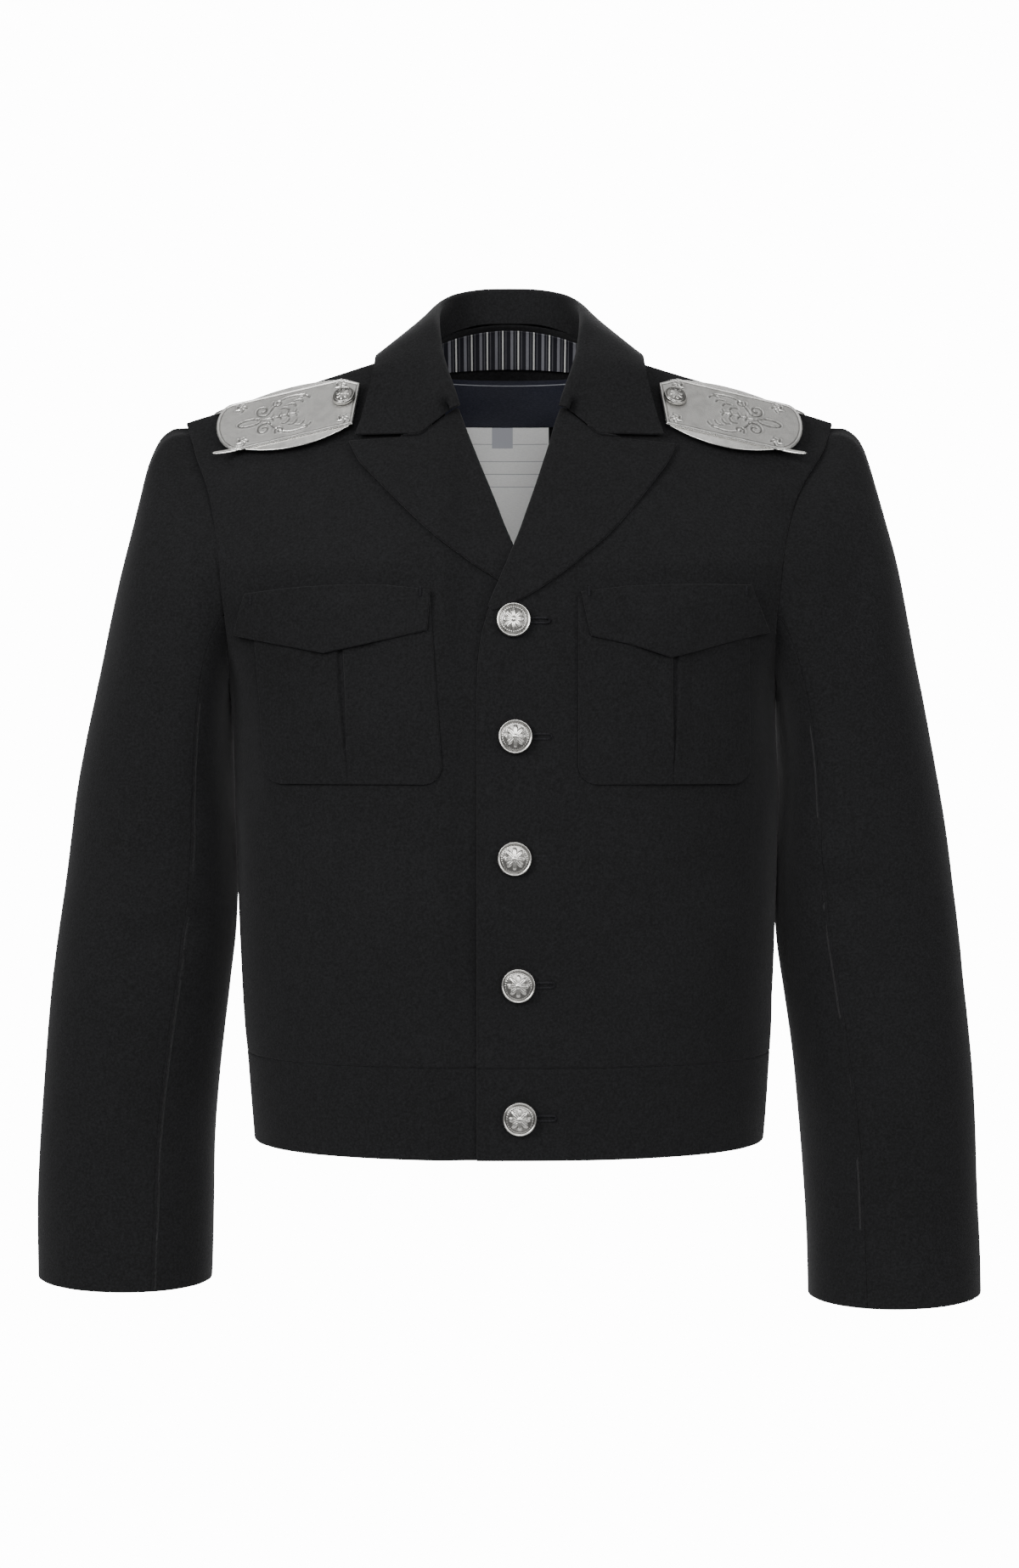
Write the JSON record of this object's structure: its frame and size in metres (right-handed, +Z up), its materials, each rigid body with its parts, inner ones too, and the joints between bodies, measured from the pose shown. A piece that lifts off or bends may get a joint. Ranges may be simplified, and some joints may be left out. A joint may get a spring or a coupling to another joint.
{
  "type": "epaulette jacket",
  "caption": "Cropped wool jacket, buttoned and filled out hollow, with notched lapels, flapped chest pockets, a waistband and engraved metal epaulettes.",
  "frame": {"origin": "base of the neck between the shoulders' high points, where a wearer holds the jacket up", "axes": "+Z up along the body, -Y the way the jacket faces, +X towards the wearer's left (the viewer's right)"},
  "size_m": [0.6792, 0.26, 0.7445],
  "materials": {
    "wool": "milled wool melton, soft nap, matt",
    "striped_facing": "woven stripes in greys on black, slight sheen",
    "dark_label": "dark woven label, bare",
    "white_label": "white woven label with faint ruled lines",
    "silver": "cast and plated antique silver, satin field, bright edges"
  },
  "bodies": {
    "root": {"front_right": "wool", "front_left": "wool", "back": "wool", "waistband_right": "wool", "waistband_left": "wool", "waistband_back": "wool", "sleeve_right_upper": "wool", "sleeve_right_under": "wool", "sleeve_left_upper": "wool", "sleeve_left_under": "wool", "collar": "wool", "lapel_right": "wool", "lapel_left": "wool", "pocket_right": "wool", "pocket_left": "wool", "flap_right": "wool", "flap_left": "wool", "neck_facing": "striped_facing", "label_dark": "dark_label", "label_white": "white_label", "button_1": "silver", "button_2": "silver", "button_3": "silver", "button_4": "silver", "button_5": "silver", "epaulette_right": "silver", "epaulette_left": "silver", "epaulette_button_right": "silver", "epaulette_button_left": "silver"}
  },
  "joints": []
}
